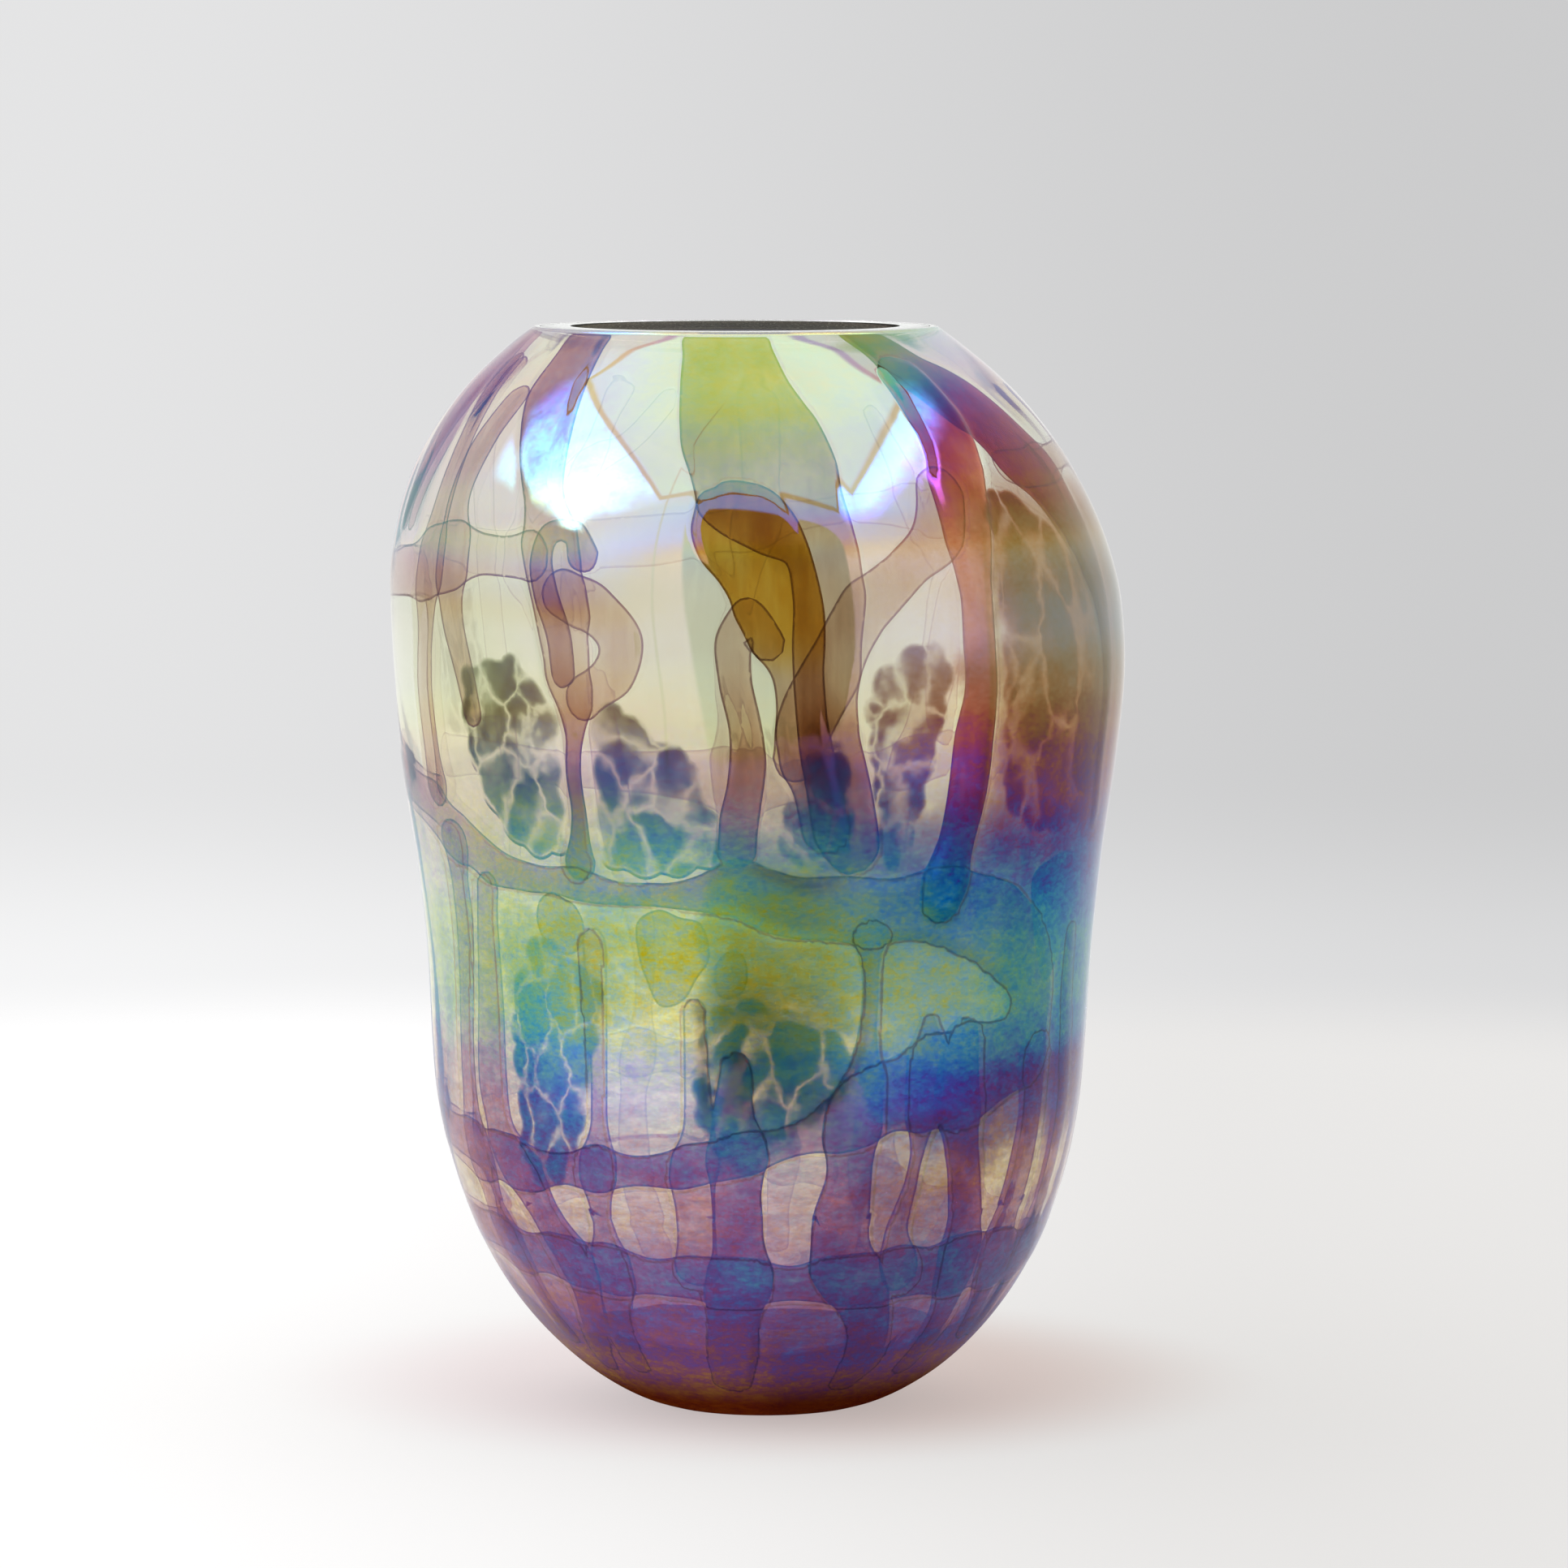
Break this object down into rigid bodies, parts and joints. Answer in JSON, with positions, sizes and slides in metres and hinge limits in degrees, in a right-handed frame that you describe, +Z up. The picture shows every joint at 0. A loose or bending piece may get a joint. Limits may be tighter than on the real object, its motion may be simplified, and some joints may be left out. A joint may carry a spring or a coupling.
{
  "type": "art glass vase",
  "caption": "Tall rounded cased glass vase with amber trails and frit patches between clear layers and an iridescent surface.",
  "frame": {"origin": "centre of the ground flat base, on the resting plane", "axes": "+Z up through the mouth, -Y the front of the vase, +X to its right"},
  "size_m": [0.1898, 0.189, 0.28],
  "materials": {
    "clear_glass": "gloss with an iridescent film, mottled on the lower body",
    "amber_trail_glass": "gloss transparent amber brown, darker at the edges",
    "ruby_trail_glass": "gloss transparent red brown",
    "umber_frit_glass": "melted frit in dark cells with pale borders",
    "olive_chip_glass": "gloss transparent olive to teal"
  },
  "bodies": {
    "root": {"back_foot_wrap": "amber_trail_glass", "back_frit_1": "umber_frit_glass", "back_frit_2": "umber_frit_glass", "back_frit_3": "umber_frit_glass", "back_frit_4": "umber_frit_glass", "back_hook": "amber_trail_glass", "back_lower_wrap": "amber_trail_glass", "back_rib_1": "amber_trail_glass", "back_rib_2": "amber_trail_glass", "back_rib_3": "amber_trail_glass", "back_rib_4": "amber_trail_glass", "back_rib_5": "amber_trail_glass", "back_rib_6": "amber_trail_glass", "back_rib_7": "amber_trail_glass", "back_shoulder_wrap": "amber_trail_glass", "back_sweep": "amber_trail_glass", "back_waist_wrap": "amber_trail_glass", "belly_wrap": "amber_trail_glass", "crossing_ribbon": "amber_trail_glass", "foot_gather": "amber_trail_glass", "foot_wrap": "amber_trail_glass", "frit_centre": "umber_frit_glass", "frit_left": "umber_frit_glass", "frit_lower_front": "umber_frit_glass", "frit_lower_left": "umber_frit_glass", "frit_mid_left": "umber_frit_glass", "frit_mid_right": "umber_frit_glass", "frit_right": "umber_frit_glass", "front_left_rib": "amber_trail_glass", "front_rib": "amber_trail_glass", "front_right_rib": "amber_trail_glass", "hook_trail": "amber_trail_glass", "inner_gather": "clear_glass", "leaf_ribbon": "amber_trail_glass", "left_column": "amber_trail_glass", "left_inner_rib": "amber_trail_glass", "left_lower_rib": "amber_trail_glass", "left_narrow_rib": "amber_trail_glass", "left_outer_rib": "amber_trail_glass", "left_stretch_rib": "amber_trail_glass", "limb_ribbon": "amber_trail_glass", "lobe_ribbon": "amber_trail_glass", "loop_ribbon": "amber_trail_glass", "olive_chip_front": "olive_chip_glass", "olive_chip_left": "olive_chip_glass", "olive_chip_small": "olive_chip_glass", "outer_casing": "clear_glass", "right_limb_rib": "amber_trail_glass", "right_lower_rib": "amber_trail_glass", "right_narrow_rib": "amber_trail_glass", "right_rib": "amber_trail_glass", "ruby_trail": "ruby_trail_glass", "shoulder_cross": "amber_trail_glass", "shoulder_sweep": "amber_trail_glass", "shoulder_wrap": "amber_trail_glass", "teal_chip": "olive_chip_glass", "wedge_trail": "amber_trail_glass"}
  },
  "joints": []
}
